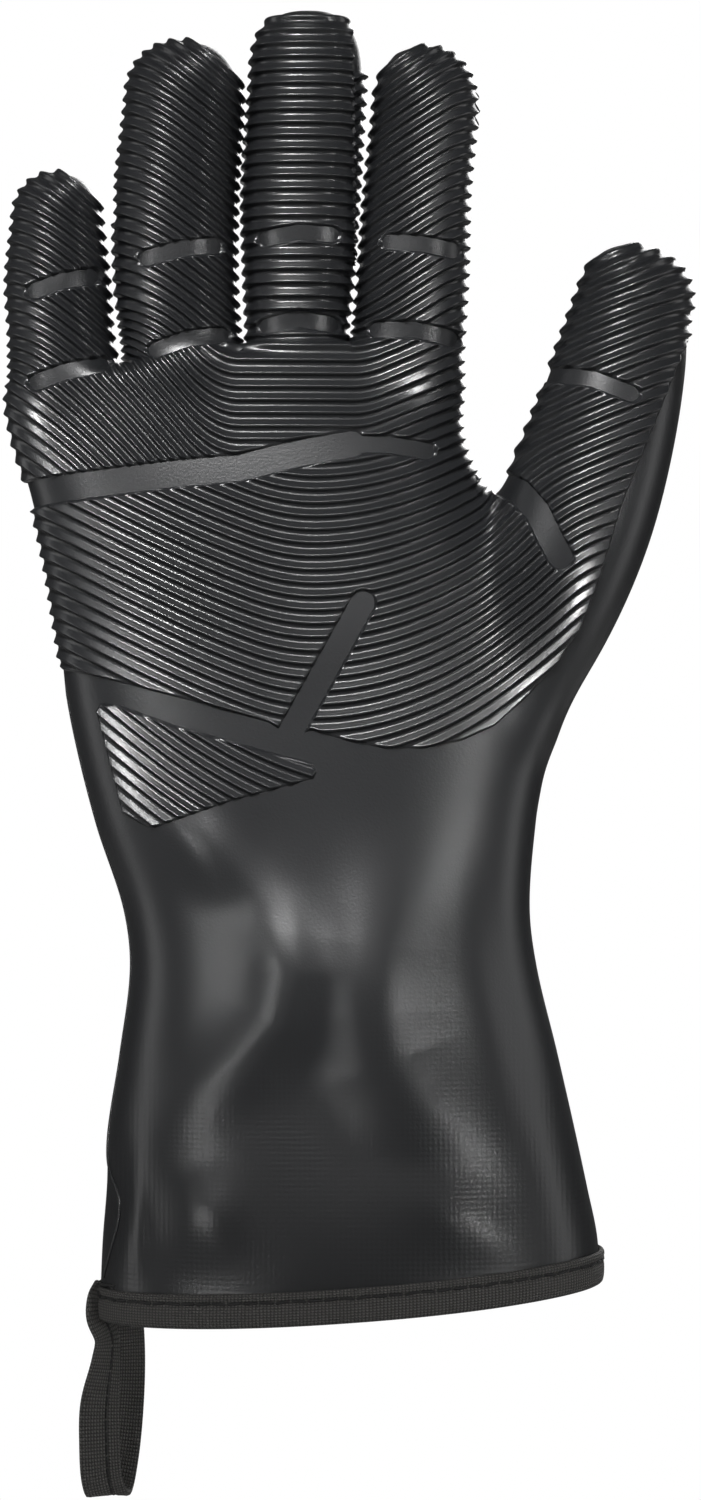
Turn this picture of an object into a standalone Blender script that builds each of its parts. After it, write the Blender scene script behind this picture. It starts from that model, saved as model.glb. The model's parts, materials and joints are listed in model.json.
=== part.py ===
"""A long heat resistant glove for outdoor cooking: a moulded rubber skin with
ribbed grip pads over a knitted liner, a bound hem and a hang loop. Right hand,
fingers up (+Z), thumb at +X, palm facing -Y, origin at the centre of the mouth."""

import math

import bmesh
import bpy
from mathutils import Vector

MM = 0.001

# Walls, in millimetres
SKIN = 1.2             # moulded rubber
LINER = 1.8            # knitted liner inside the rubber
GAP = 0.3              # room left between pieces that touch
PAD = 0.9              # how far a grip pad stands above the skin
TAPE = 1.2             # folded binding tape
THREAD_RADIUS = 0.35

LINER_OUT = -(SKIN + GAP)
LINER_IN = LINER_OUT - LINER
PAD_IN = GAP
PAD_OUT = GAP + PAD

# The glove's body from the mouth to the finger roots. Each section is
# (left x, left z, right x, right z, front depth, back depth), in millimetres.
BODY = (
    (-63.8, -11.7, 61.8, -0.3, 37.0, 37.0),
    (-66.8, 3.5, 61.8, 14.9, 37.0, 37.0),
    (-68.2, 32.0, 58.5, 30.5, 36.0, 36.0),
    (-68.0, 46.0, 55.2, 46.0, 35.0, 34.5),
    (-64.8, 68.0, 50.4, 68.0, 32.0, 32.0),
    (-62.0, 92.0, 44.5, 92.0, 29.5, 30.0),
    (-64.0, 106.0, 43.0, 107.0, 28.0, 28.5),
    (-71.4, 130.0, 44.5, 130.0, 26.5, 25.5),
    (-77.6, 157.0, 48.0, 155.0, 25.5, 23.5),
    (-82.0, 179.5, 45.0, 181.0, 24.5, 22.0),
    (-85.8, 201.0, 37.0, 206.0, 22.5, 20.0),
    (-89.6, 219.0, 29.0, 230.0, 20.5, 18.0),
    (-93.6, 238.0, 25.6, 245.5, 17.0, 15.5),
    (-91.5, 246.5, 23.0, 254.0, 11.0, 10.0),
)
BODY_SIDES = 20
BODY_SQUARENESS = 2.3
MOUTH_TILT = math.atan2(11.4, 125.6)   # the thumb side of the mouth is higher
BODY_MOUTH_RISE = (-5.9, 9.3)          # how far the first two sections are from the mouth

# Digits: the centre line as (x, y, z, half width), then the height of the tip.
DIGITS = {
    "little": (((-79.6, 0, 225, 12.4), (-81.6, 0, 250, 13.2), (-82.8, 0, 276, 13.2),
                (-82.6, 0, 293, 11.6)), 305.0),
    "ring": (((-49.0, 0, 225, 14.0), (-50.2, 0, 255, 15.2), (-51.0, 0, 296, 15.4),
              (-48.9, 0, 326, 14.2)), 341.4),
    "middle": (((-19.6, 0, 225, 12.4), (-18.8, 0, 258, 12.6), (-17.4, 0, 300, 14.0),
                (-15.4, 0, 336, 13.6)), 349.8),
    "index": (((10.4, 0, 225, 13.4), (11.3, 0, 258, 14.0), (14.4, 0, 300, 14.0),
               (16.2, 0, 324, 13.2)), 340.0),
    "thumb": (((25.0, 0, 138, 12.0), (36.0, 0, 162, 16.6), (45.6, -1, 187, 19.8), (54.4, -2, 210, 20.2),
               (62.2, -3, 233, 19.0), (69.4, -3, 259, 16.6), (72.4, -3, 273, 14.8)), 286.2),
}
FINGERS = ("little", "ring", "middle", "index")
DIGIT_SIDES = 12
DIGIT_DEPTH = 0.86                     # depth as a share of width
DIGIT_SQUARENESS = 2.2
TIP_STEPS = (32, 62)                   # degrees round the dome of a fingertip

# Fold lines, each a hinge: (point, axis in the XZ plane as degrees from +X, half length).
# A positive turn bends the glove towards the palm.
WRIST = ((-9.0, -4.0, 93.0), 0.0, 9.0)
KNUCKLES = ((-32.0, -12.5, 225.6), 6.8, 5.4)
LOWER_FOLD = {
    "little": ((-81.8, -4.0, 257.0), 0.0, 5.2),
    "ring": ((-50.3, -5.5, 264.0), 0.0, 5.2),
    "middle": ((-18.4, -5.0, 266.0), 0.0, 5.2),
    "index": ((11.4, -5.0, 265.5), 0.0, 5.2),
    "thumb": ((44.5, -8.5, 214.5), -57.0, 5.0),
}
UPPER_FOLD = {
    "little": ((-82.8, -4.0, 277.0), 0.0, 5.2),
    "ring": ((-50.8, -6.0, 285.2), 0.0, 5.2),
    "middle": ((-17.4, -5.5, 289.4), 0.0, 5.2),
    "index": ((13.1, -5.5, 286.8), 0.0, 5.2),
    "thumb": ((66.6, -9.0, 249.0), -15.5, 5.2),
}

# Outlines of the grip pads on the palm, as (x, z)
UPPER_PALM = ((-99, 224.5), (-34, 232.4), (24, 239.2), (27, 250), (11, 256), (-6, 253),
              (-20, 256), (-34, 251), (-50, 254), (-66, 245), (-82, 246), (-99, 240))
MAIN_PALM = ((-96, 212.0), (21, 225.2), (-1, 192), (-25.5, 157.6), (-72, 169.4), (-93, 173.5))
THENAR = ((1.8, 191.0), (25.6, 222.5), (32, 217), (50.5, 188.5), (53, 180), (49, 172),
          (35, 156), (16, 149.6), (-15.5, 155.2))
HEEL = ((-71.6, 161.7), (-13.2, 145.0), (-58.6, 128.5), (-66, 133))
PAD_REACH = -2.0                       # a palm pad wraps round the side to this y

# Hem and loop
HEM_HEIGHT = 9.2
STITCH_HEIGHT = 7.0
LOOP_PIVOT = Vector((-68.0, 0.0, -9.6))
LOOP_LENGTH = 42.0
LOOP_WIDTH = 10.6
LOOP_WALL = 1.6
LOOP_TOP_RADIUS = 2.0
LOOP_BOTTOM_RADIUS = 6.2
LOOP_TURN = math.radians(-8)

RUBBER = ("rubber", (0.022, 0.023, 0.025), 0.46)
RIBBED = ("ribbed_rubber", (0.020, 0.021, 0.022), 0.42)
KNIT = ("knit", (0.060, 0.061, 0.064), 0.95)
WEBBING = ("webbing", (0.024, 0.024, 0.022), 0.9)
THREAD = ("thread", (0.018, 0.018, 0.018), 0.8)


def clear_scene():
    for obj in list(bpy.data.objects):
        bpy.data.objects.remove(obj)


def collection(name, hidden=False):
    made = bpy.data.collections.new(name)
    made.hide_render = hidden
    bpy.context.scene.collection.children.link(made)
    return made


clear_scene()
GLOVE = collection("heat_resistant_glove")
SHAPES = collection("construction_shapes", hidden=True)


def material(finish):
    name, colour, roughness = finish
    found = bpy.data.materials.get(name)
    if found:
        return found
    made = bpy.data.materials.new(name)
    made.use_nodes = True
    surface = made.node_tree.nodes["Principled BSDF"]
    surface.inputs["Base Color"].default_value = (*colour, 1.0)
    surface.inputs["Roughness"].default_value = roughness
    surface.inputs["Metallic"].default_value = 0.0
    return made


def shape(mesh):
    """A construction solid, which is joined or cut before it becomes a part."""
    made = bpy.data.objects.new("shape", mesh)
    made.hide_render = True
    made.display_type = "WIRE"
    SHAPES.objects.link(made)
    return made


def copy_of(solid):
    return shape(solid.data.copy())


def mesh_from(bm):
    bmesh.ops.recalc_face_normals(bm, faces=bm.faces)
    mesh = bpy.data.meshes.new("solid")
    bm.to_mesh(mesh)
    bm.free()
    return mesh


def part(name, solid, finish):
    """Turns a construction solid into a named part of the glove."""
    solid.name = name
    solid.data.name = name
    solid.hide_render = False
    solid.display_type = "TEXTURED"
    SHAPES.objects.unlink(solid)
    GLOVE.objects.link(solid)
    solid.data.materials.clear()
    solid.data.materials.append(material(finish))
    solid.data.shade_smooth()
    solid.data.set_sharp_from_angle(angle=math.radians(35))
    return solid


def power(value, exponent):
    return math.copysign(abs(value) ** exponent, value)


def oval(centre, across, half_width, front, back, sides, squareness):
    """A superellipse in the plane of the direction across and Y."""
    ring = []
    for step in range(sides):
        angle = 2 * math.pi * step / sides
        u = power(math.cos(angle), 2 / squareness) * half_width
        v = power(math.sin(angle), 2 / squareness)
        depth = back * v if v > 0 else front * v
        ring.append((centre + across * u + Vector((0, depth, 0))) * MM)
    return ring


def loft(rings):
    """A closed solid through rings with the same number of points."""
    bm = bmesh.new()
    loops = [[bm.verts.new(point) for point in ring] for ring in rings]
    for low, high in zip(loops, loops[1:]):
        for i, corner in enumerate(low):
            j = (i + 1) % len(low)
            # The same diagonal everywhere keeps nested walls from crossing.
            bm.faces.new((corner, low[j], high[i]))
            bm.faces.new((low[j], high[j], high[i]))
    bm.faces.new(loops[0])
    bm.faces.new(loops[-1])
    return shape(mesh_from(bm))


def body_ring(section, grow):
    left_x, left_z, right_x, right_z, front, back = section
    left = Vector((left_x, 0, left_z))
    right = Vector((right_x, 0, right_z))
    half = (right - left).length / 2 + grow
    across = (right - left).normalized()
    return oval((left + right) / 2, across, half, front + grow, back + grow,
                BODY_SIDES, BODY_SQUARENESS)


def body(grow):
    """The cuff and palm in one, grown or shrunk by a wall thickness."""
    rings = [body_ring(section, grow) for section in BODY]
    lift = Vector((0, 0, grow * MM))
    rings[-1] = [point + lift for point in rings[-1]]
    return loft(rings)


def digit(name, grow):
    """A finger or the thumb with a domed tip, grown or shrunk by a wall thickness."""
    line, tip = DIGITS[name]
    points = [Vector(place[:3]) for place in line]
    widths = [place[3] + grow for place in line]
    rings = []
    for i, centre in enumerate(points):
        ahead = points[min(i + 1, len(points) - 1)]
        behind = points[max(i - 1, 0)]
        along = (ahead - behind).normalized()
        across = Vector((along.z, 0, -along.x)).normalized()
        rings.append(oval(centre, across, widths[i], widths[i] * DIGIT_DEPTH,
                          widths[i] * DIGIT_DEPTH, DIGIT_SIDES, DIGIT_SQUARENESS))
    rise = (tip + grow - points[-1].z) / along.z
    for step in TIP_STEPS:
        angle = math.radians(step)
        centre = points[-1] + along * rise * math.sin(angle)
        width = widths[-1] * math.cos(angle)
        rings.append(oval(centre, across, width, width * DIGIT_DEPTH,
                          width * DIGIT_DEPTH, DIGIT_SIDES, DIGIT_SQUARENESS))
    return loft(rings)


def trim(solid, point, keep):
    """Cuts a solid flat at a plane, and keeps the side that keep points to."""
    bm = bmesh.new()
    bm.from_mesh(solid.data)
    everything = bm.verts[:] + bm.edges[:] + bm.faces[:]
    bmesh.ops.bisect_plane(bm, geom=everything, dist=1e-6, plane_co=Vector(point) * MM,
                           plane_no=Vector(keep), clear_inner=True)
    rim = [edge for edge in bm.edges if edge.is_boundary]
    bmesh.ops.holes_fill(bm, edges=rim, sides=0)
    old = solid.data
    solid.data = mesh_from(bm)
    bpy.data.meshes.remove(old)
    return solid


def combine(solid, other, operation):
    """Boolean of two construction solids. The second one is used up."""
    step = solid.modifiers.new("boolean", "BOOLEAN")
    step.operation = operation
    step.solver = "EXACT"
    step.object = other
    bpy.context.view_layer.update()
    graph = bpy.context.evaluated_depsgraph_get()
    mesh = bpy.data.meshes.new_from_object(solid.evaluated_get(graph))
    solid.modifiers.clear()
    old = solid.data
    solid.data = mesh
    bpy.data.meshes.remove(old)
    bpy.data.objects.remove(other)
    return solid


def fold_up(fold):
    """The direction in the XZ plane that crosses a fold towards the fingertip."""
    tilt = math.radians(fold[1])
    return Vector((-math.sin(tilt), 0, math.cos(tilt)))


def below(solid, fold, offset):
    up = fold_up(fold)
    return trim(solid, Vector(fold[0]) + up * offset, -up)


def above(solid, fold, offset):
    up = fold_up(fold)
    return trim(solid, Vector(fold[0]) + up * offset, up)


def glove(grow, stubs=False, short=0.0):
    """Body and digits in one solid. With stubs, each finger ends at its lower fold."""
    solid = body(grow)
    for name in DIGITS:
        piece = digit(name, grow)
        if stubs and name in FINGERS:
            fold = LOWER_FOLD[name]
            piece = below(piece, fold, -fold[2] - short)
        solid = combine(solid, piece, "UNION")
    return solid


MOUTH = ((0.0, 0.0, 0.0), math.degrees(MOUTH_TILT), 0.0)

# The nested surfaces of the glove
SKIN_OUTSIDE = glove(0, stubs=True)
SKIN_INSIDE = glove(-SKIN)
LINER_OUTSIDE = glove(LINER_OUT, stubs=True)
LINER_INSIDE = glove(LINER_IN)
PAD_OUTSIDE = glove(PAD_OUT, stubs=True, short=0.6)
PAD_INSIDE = glove(PAD_IN)


def wall(outside, inside, low=None, high=None):
    """A piece of wall between two surfaces, from fold low to fold high."""
    piece = copy_of(outside)
    if low:
        piece = above(piece, *low)
    if high:
        piece = below(piece, *high)
    return combine(piece, copy_of(inside), "DIFFERENCE")


def cuff():
    top = (WRIST, -WRIST[2])
    bottom = (MOUTH, GAP)
    part("cuff_skin", wall(SKIN_OUTSIDE, SKIN_INSIDE, bottom, top), RUBBER)
    part("cuff_liner", wall(LINER_OUTSIDE, LINER_INSIDE, bottom, top), KNIT)
    part("wrist_flex", wall(SKIN_OUTSIDE, LINER_INSIDE, (WRIST, GAP - WRIST[2]),
                            (WRIST, WRIST[2] - GAP)), RUBBER)


def hand():
    thumb = LOWER_FOLD["thumb"]
    for name, outside, inside, finish in (
            ("hand_skin", SKIN_OUTSIDE, SKIN_INSIDE, RUBBER),
            ("hand_liner", LINER_OUTSIDE, LINER_INSIDE, KNIT)):
        piece = above(copy_of(outside), WRIST, WRIST[2])
        piece = below(piece, KNUCKLES, -KNUCKLES[2])
        piece = below(piece, thumb, -thumb[2])
        part(name, combine(piece, copy_of(inside), "DIFFERENCE"), finish)


def knuckles():
    low = (KNUCKLES, KNUCKLES[2])
    thumb = LOWER_FOLD["thumb"]
    for name, outside, inside, finish in (
            ("knuckle_skin", SKIN_OUTSIDE, SKIN_INSIDE, RUBBER),
            ("knuckle_liner", LINER_OUTSIDE, LINER_INSIDE, KNIT)):
        piece = above(copy_of(outside), *low)
        piece = below(piece, thumb, -thumb[2])
        part(name, combine(piece, copy_of(inside), "DIFFERENCE"), finish)
    piece = above(copy_of(SKIN_OUTSIDE), KNUCKLES, GAP - KNUCKLES[2])
    piece = below(piece, KNUCKLES, KNUCKLES[2] - GAP)
    piece = below(piece, thumb, -thumb[2])
    part("knuckle_flex", combine(piece, copy_of(LINER_INSIDE), "DIFFERENCE"), RUBBER)


def prism(outline):
    """A flat outline in XZ, carried forward through the palm side of the glove."""
    bm = bmesh.new()
    base = bm.faces.new([bm.verts.new(Vector((x, PAD_REACH, z)) * MM) for x, z in outline])
    carried = bmesh.ops.extrude_face_region(bm, geom=[base])["geom"]
    moved = [item for item in carried if isinstance(item, bmesh.types.BMVert)]
    bmesh.ops.translate(bm, verts=moved, vec=Vector((0, -60 * MM, 0)))
    return shape(mesh_from(bm))


def palm_pads():
    for name, outline in (("upper_palm_grip", UPPER_PALM), ("main_palm_grip", MAIN_PALM),
                          ("thenar_grip", THENAR), ("heel_grip", HEEL)):
        piece = combine(copy_of(PAD_OUTSIDE), prism(outline), "INTERSECT")
        part(name, combine(piece, copy_of(PAD_INSIDE), "DIFFERENCE"), RIBBED)


def digit_wall(name, outer, inner, low=None, high=None):
    piece = digit(name, outer)
    if low:
        piece = above(piece, *low)
    if high:
        piece = below(piece, *high)
    return combine(piece, digit(name, inner), "DIFFERENCE")


def digit_grip(name, low, high=None):
    """The ribbed half of a digit: its palm side and both edges."""
    piece = above(digit(name, PAD_OUT), *low)
    if high:
        piece = below(piece, *high)
    piece = trim(piece, (0, 1.0, 0), (0, -1, 0))
    return combine(piece, digit(name, PAD_IN), "DIFFERENCE")


def digits():
    margin = 0.6
    for name in DIGITS:
        lower = LOWER_FOLD[name]
        upper = UPPER_FOLD[name]
        base = (lower, lower[2]), (upper, -upper[2])
        tip = (upper, upper[2])
        if name in FINGERS:
            root = digit_wall(name, 0, LINER_IN, (lower, GAP - lower[2]), (lower, lower[2] - GAP))
        else:
            root = above(copy_of(SKIN_OUTSIDE), lower, GAP - lower[2])
            root = below(root, lower, lower[2] - GAP)
            root = below(root, KNUCKLES, -KNUCKLES[2])
            root = combine(root, copy_of(LINER_INSIDE), "DIFFERENCE")
        part(name + "_root_flex", root, RUBBER)
        part(name + "_base_skin", digit_wall(name, 0, -SKIN, *base), RUBBER)
        part(name + "_base_liner", digit_wall(name, LINER_OUT, LINER_IN, *base), KNIT)
        part(name + "_base_grip", digit_grip(name, (lower, lower[2] + margin),
                                             (upper, -upper[2] - margin)), RIBBED)
        part(name + "_mid_flex", digit_wall(name, 0, LINER_IN, (upper, GAP - upper[2]),
                                            (upper, upper[2] - GAP)), RUBBER)
        part(name + "_tip_skin", digit_wall(name, 0, -SKIN, tip), RUBBER)
        part(name + "_tip_liner", digit_wall(name, LINER_OUT, LINER_IN, tip), KNIT)
        part(name + "_tip_grip", digit_grip(name, (upper, upper[2] + margin)), RIBBED)


def hem():
    """Tape folded over the edge of the mouth, outside and inside."""
    tape_out = GAP + TAPE
    piece = above(body(tape_out), MOUTH, -tape_out)
    piece = below(piece, MOUTH, HEM_HEIGHT)
    piece = combine(piece, body(LINER_IN - tape_out), "DIFFERENCE")
    slot = above(body(GAP), MOUTH, 0)
    slot = below(slot, MOUTH, HEM_HEIGHT + 10)
    slot = combine(slot, body(LINER_IN - GAP), "DIFFERENCE")
    part("hem_binding", combine(piece, slot, "DIFFERENCE"), WEBBING)


def stitch_line():
    """One closed ring of thread on the outside of the hem tape."""
    grow = GAP + TAPE + GAP + THREAD_RADIUS
    low = body_ring(BODY[0], grow)
    high = body_ring(BODY[1], grow)
    # Both rings share the mouth's tilt, so one share puts the whole line at the stitch height.
    share = (STITCH_HEIGHT - BODY_MOUTH_RISE[0]) / (BODY_MOUTH_RISE[1] - BODY_MOUTH_RISE[0])
    curve = bpy.data.curves.new("hem_thread", "CURVE")
    curve.dimensions = "3D"
    curve.bevel_depth = THREAD_RADIUS * MM
    curve.bevel_resolution = 1
    line = curve.splines.new("POLY")
    line.points.add(BODY_SIDES - 1)
    for point, a, b in zip(line.points, low, high):
        point.co = (*(a + (b - a) * share), 1.0)
    line.use_cyclic_u = True
    thread = bpy.data.objects.new("hem_thread", curve)
    curve.materials.append(material(THREAD))
    GLOVE.objects.link(thread)


def hull_of_circles(top_radius, bottom_radius, length, steps=10):
    """Two circles, one above the other, joined by their outer tangents."""
    lean = math.asin((bottom_radius - top_radius) / length)
    points = []
    for step in range(steps + 1):
        angle = lean + (math.pi - 2 * lean) * step / steps
        points.append((top_radius * math.cos(angle), top_radius * math.sin(angle)))
    for step in range(steps + 1):
        angle = math.pi - lean + (math.pi + 2 * lean) * step / steps
        points.append((bottom_radius * math.cos(angle), bottom_radius * math.sin(angle) - length))
    return points


def hang_loop():
    """A band of tape bent into a narrow drop, open from side to side."""
    length = LOOP_LENGTH - LOOP_TOP_RADIUS - LOOP_BOTTOM_RADIUS
    curve = bpy.data.curves.new("hang_loop", "CURVE")
    curve.dimensions = "2D"
    curve.fill_mode = "BOTH"
    curve.extrude = LOOP_WIDTH / 2 * MM
    for inset in (0.0, LOOP_WALL):
        outline = hull_of_circles(LOOP_TOP_RADIUS - inset, LOOP_BOTTOM_RADIUS - inset, length)
        line = curve.splines.new("POLY")
        line.points.add(len(outline) - 1)
        for point, (y, z) in zip(line.points, outline):
            point.co = (y * MM, z * MM, 0.0, 1.0)
        line.use_cyclic_u = True
    flat = bpy.data.objects.new("hang_loop_outline", curve)
    SHAPES.objects.link(flat)
    bpy.context.view_layer.update()
    graph = bpy.context.evaluated_depsgraph_get()
    bm = bmesh.new()
    bm.from_mesh(bpy.data.meshes.new_from_object(flat.evaluated_get(graph)))
    bpy.data.objects.remove(flat)
    bmesh.ops.remove_doubles(bm, verts=bm.verts, dist=0.00001)
    cos, sin = math.cos(LOOP_TURN), math.sin(LOOP_TURN)
    top = LOOP_PIVOT * MM - Vector((0, 0, (LOOP_TOP_RADIUS + GAP) * MM))
    for vert in bm.verts:
        across, height, along = vert.co
        vert.co = top + Vector((along * cos - across * sin, along * sin + across * cos, height))
    part("hang_loop", shape(mesh_from(bm)), WEBBING)


def block(centre, size):
    bm = bmesh.new()
    bmesh.ops.create_cube(bm, size=1.0)
    for vert in bm.verts:
        vert.co = Vector([(c + v * s) * MM for c, v, s in zip(centre, vert.co, size)])
    rim = bm.edges[:]
    bmesh.ops.bevel(bm, geom=rim, offset=0.5 * MM, segments=1, affect="EDGES")
    return shape(mesh_from(bm))


def loop_anchor():
    """The end of the tape, brought over the little finger side of the hem and sewn down."""
    part("loop_anchor", block((-70.9, 0.0, -4.2), (3.0, LOOP_WIDTH, 9.6)), WEBBING)
    part("loop_bartack", block((-72.2, 0.0, 4.2), (3.2, 4.0, 5.4)), THREAD)


cuff()
hand()
knuckles()
palm_pads()
digits()
hem()
stitch_line()
hang_loop()
loop_anchor()
for leftover in list(SHAPES.objects):
    bpy.data.objects.remove(leftover)
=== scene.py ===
import json
import math

import bpy
import numpy as np
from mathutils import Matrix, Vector


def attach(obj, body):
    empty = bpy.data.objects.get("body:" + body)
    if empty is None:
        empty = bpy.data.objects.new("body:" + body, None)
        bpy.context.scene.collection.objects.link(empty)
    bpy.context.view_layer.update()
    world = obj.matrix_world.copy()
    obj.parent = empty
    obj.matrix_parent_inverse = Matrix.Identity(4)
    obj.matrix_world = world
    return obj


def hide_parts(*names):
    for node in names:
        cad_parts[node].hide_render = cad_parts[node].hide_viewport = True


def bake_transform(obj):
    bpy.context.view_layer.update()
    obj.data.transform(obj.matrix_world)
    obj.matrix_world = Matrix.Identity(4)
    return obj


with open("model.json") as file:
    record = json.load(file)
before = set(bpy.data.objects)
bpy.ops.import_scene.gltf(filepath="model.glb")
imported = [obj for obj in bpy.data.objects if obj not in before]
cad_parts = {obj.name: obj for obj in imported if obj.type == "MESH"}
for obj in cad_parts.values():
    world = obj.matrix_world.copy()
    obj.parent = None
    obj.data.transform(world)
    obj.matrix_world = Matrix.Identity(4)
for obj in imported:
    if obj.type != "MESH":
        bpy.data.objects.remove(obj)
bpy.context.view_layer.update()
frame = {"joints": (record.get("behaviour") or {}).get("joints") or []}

mm = 0.001
joints = {joint["name"]: joint for joint in frame["joints"]}
fingers = ("little", "ring", "middle", "index")
digitNames = fingers + ("thumb",)


shot = {
    "lens": 106.0,
    "height": 0.4050,      # metres of the object's plane from the top of the frame to its bottom
    "centre": (-0.0042, 0.1496),
}


def addObject(name, data):
    # a new object with this data, in the scene
    obj = bpy.data.objects.new(name, data)
    bpy.context.scene.collection.objects.link(obj)
    return obj


def makeCamera():
    # distance = height x lens / sensor height, so the frame just holds the given height
    data = bpy.data.cameras.new("camera")
    data.lens = shot["lens"]
    data.sensor_fit = "VERTICAL"
    data.sensor_height = 36.0
    camera = addObject("camera", data)
    distance = shot["height"] * shot["lens"] / data.sensor_height
    camera.location = (shot["centre"][0], -distance, shot["centre"][1])
    camera.rotation_euler = (math.pi / 2, 0.0, 0.0)
    bpy.context.scene.camera = camera


makeCamera()
print("camera placed")


# The glove's shape is a field in millimetres, negative inside. All lengths below are in millimetres.
# outline of the cuff and palm at heights z: left edge, right edge, depth to the palm, depth to the back
bodyShape = {
    "z":     (-20, 4, 18, 32, 46, 68, 92, 106, 130, 156, 180, 200, 219, 234, 246, 262),
    "left":  (-72.5, -71.6, -71.0, -69.9, -69.4, -66.1, -63.3, -64.9, -72.6, -79.0, -83.0, -86.3,
              -90.6, -95.0, -96.2, -96.0),
    "right": (62.5, 62.8, 62.4, 59.6, 56.6, 51.6, 45.9, 44.2, 45.8, 49.5, 46.0, 40.0,
              31.0, 25.4, 24.8, 25.0),
    "front": (38, 38, 37.5, 36.5, 35, 32, 29.5, 28, 26.5, 25.5, 24.5, 22.5,
              20, 17.5, 15.5, 14),
    "back":  (38, 38, 37.5, 36.5, 34.5, 32, 30, 28.5, 25.5, 23.5, 22, 20,
              18, 16, 14.5, 13.5),
    "square": 2.35,
}
# where the body ends between the fingers, as x and height
webShape = {"x": (-100, -82, -66.5, -50, -33, -17, -2, 12, 31),
            "z": (246, 250, 251.6, 255, 257, 258, 258, 257, 246)}

# each digit along its own straight line from start: distance s, offset, half width, then the tip
digitShape = {
    "little": {"start": (-82.0, 0, 250), "lean": 0.0, "s": (-40, 0, 12, 26, 43),
               "offset": (3, 0.6, -0.4, -1.3, -1.4), "half": (12.0, 14.0, 13.3, 13.2, 11.4), "dome": 12.2,
               "square": 2.15, "root": -6},
    "ring": {"start": (-50.5, 0, 255), "lean": 0.0, "s": (-40, 0, 20, 42, 70),
             "offset": (2, 1.0, -0.8, -0.9, 1.4), "half": (13.0, 15.0, 15.7, 15.9, 15.3), "dome": 16.0,
             "square": 2.25, "root": -6},
    "middle": {"start": (-18.0, 0, 258), "lean": 0.0, "s": (-40, 0, 20, 42, 73),
               "offset": (-1.5, -0.8, -0.2, 0.3, 2.3), "half": (12.0, 12.6, 14.0, 15.0, 14.9), "dome": 18.6,
               "square": 2.6, "root": -6},
    "index": {"start": (12.0, 0, 258), "lean": 0.0, "s": (-40, 0, 20, 42, 64),
              "offset": (-1.5, -0.8, 0.6, 1.7, 4.0), "half": (13.0, 14.2, 14.0, 13.5, 13.4), "dome": 17.4,
              "square": 2.3, "root": -6},
    "thumb": {"start": (45.0, -2.0, 190), "lean": 20.0, "s": (-50, -29, -3, 22, 46, 73, 86),
              "offset": (1, 1.6, 2.6, 3.2, 2.8, 0.3, -1.8), "half": (10, 15.6, 19.9, 21.0, 19.6, 17.0, 14.9),
              "dome": 14.0, "square": 2.2, "root": -32},
}
digitDepth = 0.86
digitCurl = -0.0005    # a digit leans this x distance squared to the palm side, so a minus leans it back
digitTaper = 0.03      # how fast a digit shrinks away below its root
fieldBlend = {"finger": 7.0, "thumb": 15.0, "top": 7.0}


def smoothCurve(x, xs, ys):
    # cubic Hermite through the stations; each slope is the mean of the slopes on its two sides
    xs = np.asarray(xs, float)
    ys = np.asarray(ys, float)
    step = np.diff(ys) / np.diff(xs)
    slope = np.concatenate([step[:1], (step[1:] + step[:-1]) / 2, step[-1:]])
    x = np.clip(x, xs[0], xs[-1])
    i = np.clip(np.searchsorted(xs, x, side="right") - 1, 0, len(xs) - 2)
    h = xs[i + 1] - xs[i]
    t = (x - xs[i]) / h
    return (ys[i] * (1 + 2 * t) * (1 - t) ** 2 + slope[i] * h * t * (1 - t) ** 2
            + ys[i + 1] * t * t * (3 - 2 * t) + slope[i + 1] * h * t * t * (t - 1))


def smoothStep(x, low, high):
    # 0 below low, 1 above high, and 3 t squared - 2 t cubed between
    t = np.clip((x - low) / (high - low), 0, 1)
    return t * t * (3 - 2 * t)


def softMin(a, b, k):
    # the smaller of a and b, with a round fillet of about k where they are equal
    h = np.maximum(k - np.abs(a - b), 0) / k
    return np.minimum(a, b) - h ** 3 * k / 6


def ovalField(u, v, w, halfU, halfV, halfW, n):
    # signed distance along the ray from the centre: r - r / rho, with rho the superellipse radius
    rho = ((np.abs(u) / halfU) ** n + (np.abs(v) / halfV) ** n + (np.abs(w) / halfW) ** n) ** (1 / n)
    rho = np.maximum(rho, 0.05)
    r = np.sqrt(u * u + v * v + w * w)
    return r - r / rho


def polylineDistance(x, z, points):
    # distance from the points x, z to the nearest of the line's pieces
    best = np.full(x.shape, 1e9)
    for (ax, az), (bx, bz) in zip(points[:-1], points[1:]):
        dx, dz = bx - ax, bz - az
        t = np.clip(((x - ax) * dx + (z - az) * dz) / (dx * dx + dz * dz), 0, 1)
        best = np.minimum(best, (x - ax - t * dx) ** 2 + (z - az - t * dz) ** 2)
    return np.sqrt(best)


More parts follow.
